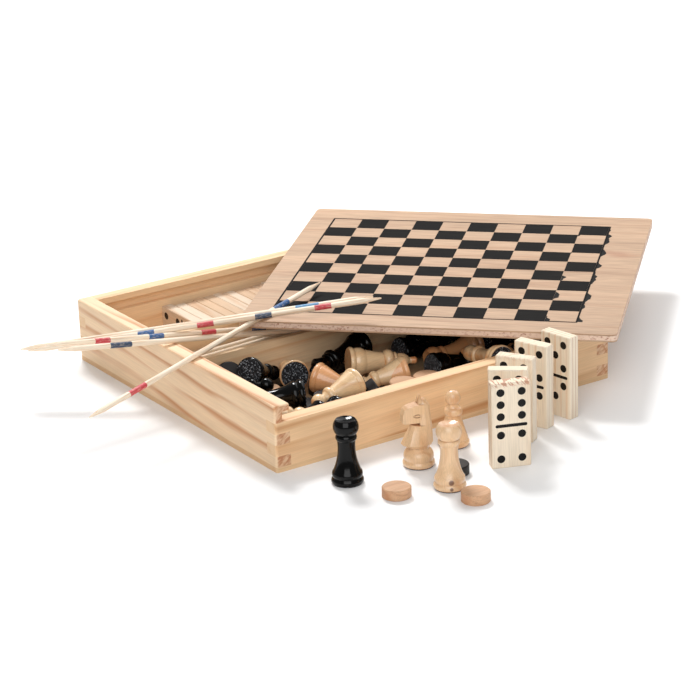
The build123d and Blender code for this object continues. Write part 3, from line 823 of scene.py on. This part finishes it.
@dataclass(frozen=True, kw_only=True)
class StickFinish(Finish):
    """Pale birch dowel with painted bands, of which up to `flaked` has come off in flakes."""

    stick: Stick
    wood: str = "#F5E6D0"
    shade: str = "#D6B08A"
    flaked: float = 0.45

    FIBRES: ClassVar[Patches] = Patches((33.333, 0.625, 0.625), starts=0.30, whole=0.55)
    FLAKES: ClassVar[Patches] = Patches((2.0, 0.41667, 0.41667), 3.0, starts=0.52, whole=0.70)

    def build(self) -> Material:
        """Make the material of one stick.

        Returns:
            The material.
        """
        made = self.start()
        tree = made.node_tree
        stick = self.stick
        away = add_node(tree, "VectorMath", {0: millimetres(tree), 1: stick.tip()},
                        operation="SUBTRACT").outputs[0]
        along = turn(tree, away, stick.yaw, stick.rise)
        paint, painted = self.bands(tree, away)
        fibre = self.FIBRES.noise(tree, along)
        pale = self.FIBRES.strength(tree, fibre, 0.0, 1.0)
        bare = add_node(tree, "Mix", {SHARE: pale, FIRST: linear(self.shade),
                                      SECOND: linear(self.wood)}, data_type="RGBA").outputs[MIXED]
        left = self.FLAKES.strength(tree, self.FLAKES.noise(tree, along), 1.0, 1 - self.flaked)
        held = add_node(tree, "Math", {0: painted, 1: left}, operation="MULTIPLY").outputs[0]
        colour = add_node(tree, "Mix", {SHARE: held, FIRST: bare, SECOND: paint},
                          data_type="RGBA").outputs[MIXED]
        self.cover(made, colour, fibre.outputs["Fac"])
        return made

    def bands(self, tree: Tree, away: Socket) -> tuple[Socket, Socket]:
        """Draw the painted bands.

        Args:
            tree: Node tree to add to.
            away: Place from the stick's left tip.

        Returns:
            The colour of the paint, and one where there is paint or else nothing.
        """
        length = self.stick.length
        run = add_node(tree, "VectorMath", {0: away, 1: self.stick.direction()},
                       operation="DOT_PRODUCT").outputs["Value"]
        share = add_node(tree, "Math", {0: run, 1: length}, operation="DIVIDE").outputs[0]
        colours: Stops = ((0.0, grey(0.0)),)
        masks: Stops = ((0.0, grey(0.0)),)
        for start, end, band in self.stick.bands.edges():
            colours += ((start / length, linear(band.value)), (end / length, grey(0.0)))
            masks += ((start / length, grey(1.0)), (end / length, grey(0.0)))
        paint = add_node(tree, "ValToRGB", {"Fac": share}, colours)
        painted = add_node(tree, "ValToRGB", {"Fac": share}, masks)
        for bands in (paint, painted):
            bands.color_ramp.interpolation = "CONSTANT"
        return paint.outputs[0], painted.outputs[0]


@dataclass
class Assembly:
    """Sub-assembly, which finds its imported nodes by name."""

    nodes: dict[str, bpy.types.Object]

    def dress(self, material: Material, *names: str) -> None:
        """Give nodes their material.

        Args:
            material: Material for all of their faces.
            *names: Names of the nodes.
        """
        for name in names:
            mesh = self.nodes[name].data
            mesh.materials.clear()
            mesh.materials.append(material)
            LOG.info("dressed %s in %s", name, material.name)


@dataclass
class Box(Assembly):
    """Pine box with its finger-jointed walls, dividers and plywood base."""

    # Planed pine side boards: pale and matt, with wide orange rings and browner cut ends.
    pine_along: Wood = Wood("planed_pine_along_y", early="#F9D9B2", late="#C87E42", end="#BE8058",
                            grain=Grain.ALONG_Y, ring=5.0, ring_contrast=0.85, pith=(0.0, 24.0, -38.0),
                            tilt=2.2, wander=7.0, roughness=0.55, blotch=0.10, fibre_contrast=0.10,
                            end_least=0.3)
    # Planed pine front board: warmer, with wider rings and ends as pale as its face.
    pine_across: Wood = Wood("planed_pine_along_x", early="#F7D0A2", late="#C27C3E", end="#E6C094",
                             grain=Grain.ALONG_X, ring=6.0, ring_contrast=0.75,
                             pith=(0.0, 22.0, -52.0), wander=6.0, roughness=0.55, blotch=0.10,
                             fibre_contrast=0.09)
    # Planed pine of the back board and the dividers: calmer, with fainter, yellower rings, and paler as
    # painted light on these inner faces in the box's shade.
    pine_back_painted_lighter: Wood = Wood("planed_pine_back_board_painted_lighter", early="#F4D2A8", late="#D99A60", end="#E6C094",
                           grain=Grain.ALONG_X, ring=6.0, ring_contrast=0.5, pith=(0.0, 30.0, -30.0),
                           tilt=1.2, wander=6.0, roughness=0.55, blotch=0.08, fibre_contrast=0.10)
    # Birch plywood: an even, matt, tan floor with close, faint rings.
    ply: Wood = Wood("birch_plywood_base", early="#EFCB9E", late="#D6A572", end="#E0B688", ring=3.0,
                     ring_contrast=0.3, roughness=0.6)

    def build(self) -> None:
        """Dress the box."""
        self.dress(self.pine_along.build(), "left_wall", "right_wall")
        self.dress(self.pine_across.build(), "front_wall")
        self.dress(self.pine_back_painted_lighter.build(), "back_wall", "bay_divider", "tile_divider")
        self.dress(self.ply.build(), "base_panel")


@dataclass
class Lid(Assembly):
    """Three-ply lid with the printed draughtboard."""

    # Sanded basswood veneer: dull pinkish brown, with short dark fibres and faint rings.
    veneer: Wood = Wood("basswood_veneer", early="#CDAA8B", late="#A97857", end="#C7A184",
                        grain=Grain.LID, ring_contrast=0.4, pith=(0.0, 60.0, -140.0), tilt=1.0,
                        wander=9.0, fibre=0.55, fibre_contrast=0.26, blotch=0.16, roughness=0.6)
    # Sawn core: a rough pale edge, crushed by the saw, with reddish pores and dark pits.
    core: Core = Core("plywood_core", roughness=0.8)
    # The printing ink has crept along the veneer's fibres, in black fingers.
    wear: InkWear = InkWear()
    # Faint reddish rubbing marks near the right corner.
    smears: Marks = Marks(((155.7, -27.0, 37.5, 4.5), (157.2, -32.0, 37.5, 5.5),
                           (160.0, -36.5, 37.5, 6.5)), colour="#9A5F44", strength=0.4, soft=0.0)
    # Screen-printing ink: flat near-black, with the fibres showing through in dark grey.
    ink: Painted = Painted("printed_board_ink", colour="#0F0D0C", worn="#332D28", roughness=0.8,
                           specular=0.12)

    def build(self) -> None:
        """Dress the lid."""
        self.dress(self.wear.spread(self.smears.mark(self.veneer.build())), "lid_veneers")
        self.dress(self.core.build(), "lid_core")
        self.dress(self.ink.build(), "board_print")


@dataclass
class Men(Assembly):
    """Turned chess men, lacquered natural or black, with felt under their feet."""

    # Lacquered beech, turned upright: honey colour under a clear gloss, with painted shade in its
    # grooves.
    natural: Wood = Wood("lacquered_beech_upright", early="#F3CB9E", late="#D69A64", end="#D09A6A",
                         grain=Grain.UPRIGHT, roughness=0.35, coat=0.7, coat_roughness=0.12,
                         fibre=0.4, pith=(0.0, 9.0, -14.0), painted_shade_reach=1.2)
    # The same beech lying in the box: painted paler, as painted light for men in the box's shade, with
    # painted shade in its grooves; each man tinted a little differently.
    heaped_painted_lighter: Wood = Wood("lacquered_beech_lying_painted_lighter", early="#FDD8A8", late="#E0A066", end="#E0A066",
                        grain=Grain.ALONG_X, ring=5.0, ring_contrast=0.4, roughness=0.35, coat=0.7,
                        coat_roughness=0.12, fibre=0.5, each_differs=0.8, tint="#EDAE78", painted_shade_reach=1.2,
                        cell=(36.0, 30.0, 400.0), cell_start=(-92.0, -89.5, -200.0))
    # Black lacquer: smooth and deep, with sharp highlights.
    black: Painted = Painted("black_gloss_lacquer", colour="#030303", worn="#070606", roughness=0.12,
                             specular=0.22)
    # Two small dark knots in the natural rook's foot.
    knots: Marks = Marks(((-49.0, -166.8, 1.9, 0.9), (-48.8, -166.4, 5.0, 1.3)), soft=0.8)
    # Pressed wool felt: soft black with pale flecks and hardly any shine.
    felt: Felt = Felt("pressed_felt", roughness=0.95, sheen=0.1, specular=0.2)

    def build(self) -> None:
        """Dress the men."""
        self.dress(self.natural.build(), "natural_pawn", "natural_knight")
        self.dress(self.knots.mark(self.natural.build()), "natural_rook")
        self.dress(self.heaped_painted_lighter.build(), "natural_men_in_box")
        self.dress(self.black.build(), "black_rook", "black_men_in_box")
        self.dress(self.felt.build(), "natural_pawn_felt", "natural_knight_felt",
                   "natural_rook_felt", "black_rook_felt", "felt_pads_in_box")


@dataclass
class Draughts(Assembly):
    """Flat discs, sanded natural or stained black."""

    # Sanded beech: matt tan, with fine open fibres.
    natural: Wood = Wood("sanded_beech_disc", early="#DBAC84", late="#BB8258", end="#C0875E",
                         grain=Grain.ALONG_X, fibre_contrast=0.2, ring=3.5, ring_contrast=0.4,
                         roughness=0.55, each_differs=0.3, fibre=0.4)
    # Stained beech: dull brownish black, with rings that can only just be seen.
    black: Wood = Wood("black_stained_disc", early="#1C1613", late="#0F0C0B", end="#15110F",
                       grain=Grain.ALONG_X, ring=3.5, ring_contrast=0.5, specular=0.3)

    def build(self) -> None:
        """Dress the draughts."""
        self.dress(self.natural.build(), "natural_draught_left", "natural_draught_right",
                   "natural_draughts_in_box")
        self.dress(self.black.build(), "black_draught", "black_draughts_in_box")


@dataclass(frozen=True)
class Tile:
    """One standing domino: its left front corner, its yaw, and how strongly it is marked.

    The tiles are cut from one log, so each one's pith is moved by a share of its place.
    """

    node: str
    x: float
    y: float
    yaw: float
    glue_share: float
    bruise: float

    LOG_PITH: ClassVar[tuple[float, float]] = (14.0, -21.0)
    LOG_SHARE: ClassVar[float] = 0.1

    def wood(self) -> TileWood:
        """Choose the tile's wood.

        Returns:
            The finish.
        """
        across, up = (pith + self.LOG_SHARE * place
                      for pith, place in zip(self.LOG_PITH, (self.x, self.y)))
        # Sanded birch: pale and matt, with warm rings that run up the tile.
        return TileWood("sanded_birch_" + self.node, early="#F8E9D2", late="#E2AE78", end="#F3DFC4",
                        grain=Grain.UPRIGHT, ring=3.6, pith=(0.0, across, up), tilt=1.0,
                        wander=3.0, fibre=0.4, roughness=0.55, corner=(self.x, self.y, 0.0),
                        yaw=self.yaw, glue_share=self.glue_share, bruise=self.bruise)


@dataclass
class Dominoes(Assembly):
    """Sanded tiles with enamelled pips."""

    standing: tuple[Tile, ...] = (
        Tile("domino_1", -17.7, -155.9, -21.5, glue_share=0.0, bruise=0.8),
        Tile("domino_2", -7.8, -139.7, -38.5, glue_share=0.15, bruise=0.0),
        Tile("domino_3", 7.0, -125.8, -59.0, glue_share=0.15, bruise=0.2),
        Tile("domino_4", 26.5, -115.0, -71.5, glue_share=0.25, bruise=0.0),
        Tile("domino_5", 45.3, -111.8, -79.5, glue_share=0.6, bruise=0.0),
    )
    # Sanded birch, in a row on edge: matt, greyer than the standing tiles, no two alike.
    wood_in_box: Wood = Wood("sanded_birch_tile_lying", early="#E4D0B8", late="#C99868",
                             end="#F0DEC8", grain=Grain.ALONG_Y, ring_contrast=0.55,
                             roughness=0.55, each_differs=0.7, tint="#E2C4A2", fibre=0.4,
                             cell=(6.16, 400.0, 400.0), cell_start=(-54.3, -201.0, -200.0))
    # Enamel in the pips and the bars: near-black with a low gloss.
    paint: Painted = Painted("black_enamel", colour="#0C0A0A", worn="#1C1816", roughness=0.4,
                             specular=0.2)

    def build(self) -> None:
        """Dress the dominoes."""
        for tile in self.standing:
            self.dress(tile.wood().build(), tile.node)
        self.dress(self.wood_in_box.build(), "dominoes_in_box")
        marks = [tile.node + "_marks" for tile in self.standing]
        self.dress(self.paint.build(), *marks, "domino_marks_in_box")


@dataclass
class Sticks(Assembly):
    """Loose pick-up sticks, each with its own bands, and the pile in its bay."""

    loose: tuple[Stick, ...] = (
        Stick("stick_over_lid_back", (-99.5, 28.7), -33.4, 7.0, 62.0,
              Bands((Paint.SKY,), first=140.0, spacing=0.0, width=12.0)),
        Stick("stick_over_lid_front", (-99.5, 24.9), -33.4, 7.0, 60.0,
              Bands((Paint.RED, Paint.BLUE, Paint.RED, Paint.NAVY, Paint.RED),
                    first=25.8, spacing=30.0, width=8.5)),
        Stick("stick_on_lid", (-99.5, -20.2), 19.8, 4.3, 74.5,
              Bands((Paint.RED, Paint.BLUE), first=28.0, spacing=112.0, width=12.0)),
        Stick("stick_in_bay_front", (-92.0, 6.5), -0.3, -8.6, 66.0,
              Bands((Paint.NAVY, Paint.NAVY), first=28.0, spacing=112.0, width=12.0)),
        Stick("stick_in_bay_back", (-92.0, 15.2), -0.8, -8.6, 67.5,
              Bands((Paint.RED, Paint.BLUE, Paint.RED, Paint.BLUE, Paint.RED),
                    first=25.8, spacing=30.0, width=8.5)),
    )
    # Birch dowels: pale and matt, with close, faint rings.
    pile: Wood = Wood("birch_dowel_pile", early="#EDD9BE", late="#D2A87C", end="#D8B98C", ring=3.0,
                      ring_contrast=0.4, roughness=0.55, fibre=0.4)

    def build(self) -> None:
        """Dress the sticks."""
        for stick in self.loose:
            # Painted birch dowel: pale, with streaks of fibre and bands of flaking paint.
            self.dress(StickFinish("birch_dowel_" + stick.node, stick=stick).build(), stick.node)
        self.dress(self.pile.build(), "sticks_in_box")


@dataclass(frozen=True)
class Lamp:
    """Square soft box that faces the part: place and size in metres, power in watts."""

    name: str
    place: Triple
    size: float
    power: float


@dataclass
class Studio:
    """Camera, pale floor and soft light.

    The camera looks at the target from the distance.  Its zoom is the focal length over
    the sensor's width.  The floor's half side and the far clip are in metres.
    """

    target: Triple = (-5.5, -18.6, 16.75)
    distance: float = 1299.0
    azimuth: float = -33.04
    elevation: float = 20.45
    roll: float = -2.01
    zoom: float = 3.6343
    sensor: float = 36.0
    far: float = 50.0
    # Matt white paper: an even pale ground that takes soft shadows.
    paper: Finish = Finish("paper_sweep", roughness=0.9)
    paper_colour: str = "#F7F7F7"
    paper_half: float = 6.0
    tent: float = 0.27
    tent_colour: str = "#FFFFFF"
    lamps: tuple[Lamp, ...] = (
        Lamp("soft_box_behind", (0.20, 0.66, 1.00), 0.30, 12.5),
        Lamp("soft_box_right", (1.0, 0.3, 0.95), 1.3, 8.0),
        Lamp("soft_box_front_left", (-0.75, -1.1, 0.9), 1.2, 13.0),
    )

    def build(self) -> None:
        """Set up the view."""
        self.camera()
        self.floor()
        self.lights()

    def camera(self) -> None:
        """Place the camera."""
        azimuth, elevation, roll = (math.radians(angle)
                                    for angle in (self.azimuth, self.elevation, self.roll))
        back = Vector((math.sin(azimuth) * math.cos(elevation),
                       -math.cos(azimuth) * math.cos(elevation), math.sin(elevation)))
        level = Vector((math.cos(azimuth), math.sin(azimuth), 0.0))
        right = math.cos(roll) * level + math.sin(roll) * back.cross(level)
        turned = Matrix((right, back.cross(right), back)).transposed().to_4x4()
        data = bpy.data.cameras.new("view")
        data.lens = self.zoom * self.sensor
        data.sensor_width = self.sensor
        data.clip_end = self.far
        camera = bpy.data.objects.new("view", data)
        place = (Vector(self.target) + self.distance * back) * MM
        camera.matrix_world = Matrix.Translation(place) @ turned
        bpy.context.scene.collection.objects.link(camera)
        bpy.context.scene.camera = camera

    def floor(self) -> None:
        """Lay the pale floor."""
        mesh = bpy.data.meshes.new("floor")
        half = self.paper_half
        corners = [(-half, -half, 0), (half, -half, 0), (half, half, 0), (-half, half, 0)]
        mesh.from_pydata(corners, [], [(0, 1, 2, 3)])
        floor = bpy.data.objects.new("floor", mesh)
        bpy.context.scene.collection.objects.link(floor)
        paper = self.paper.start()
        shader_of(paper).inputs["Base Color"].default_value = linear(self.paper_colour)
        mesh.materials.append(paper)

    def lights(self) -> None:
        """Set the soft boxes and the even light of a white tent round them."""
        for lamp in self.lamps:
            data = bpy.data.lights.new(lamp.name, "AREA")
            data.size = lamp.size
            data.energy = lamp.power
            light = bpy.data.objects.new(lamp.name, data)
            light.location = lamp.place
            light.rotation_euler = (-Vector(lamp.place)).to_track_quat("-Z", "Y").to_euler()
            bpy.context.scene.collection.objects.link(light)
        world = bpy.data.worlds.new("tent")
        world.use_nodes = True
        background = world.node_tree.nodes["Background"]
        background.inputs["Color"].default_value = linear(self.tent_colour)
        background.inputs["Strength"].default_value = self.tent
        bpy.context.scene.world = world
        bpy.context.scene.view_settings.view_transform = "Standard"


def main() -> None:
    """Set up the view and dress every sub-assembly in order."""
    logging.basicConfig(level=logging.INFO, format="%(name)s %(message)s", stream=sys.stdout)
    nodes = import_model()["nodes"]
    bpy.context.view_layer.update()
    Studio().build()
    for assembly in (Box, Lid, Men, Draughts, Dominoes, Sticks):
        assembly(nodes).build()
        LOG.info("finished %s", assembly.__name__)


if __name__ == "__main__":
    main()
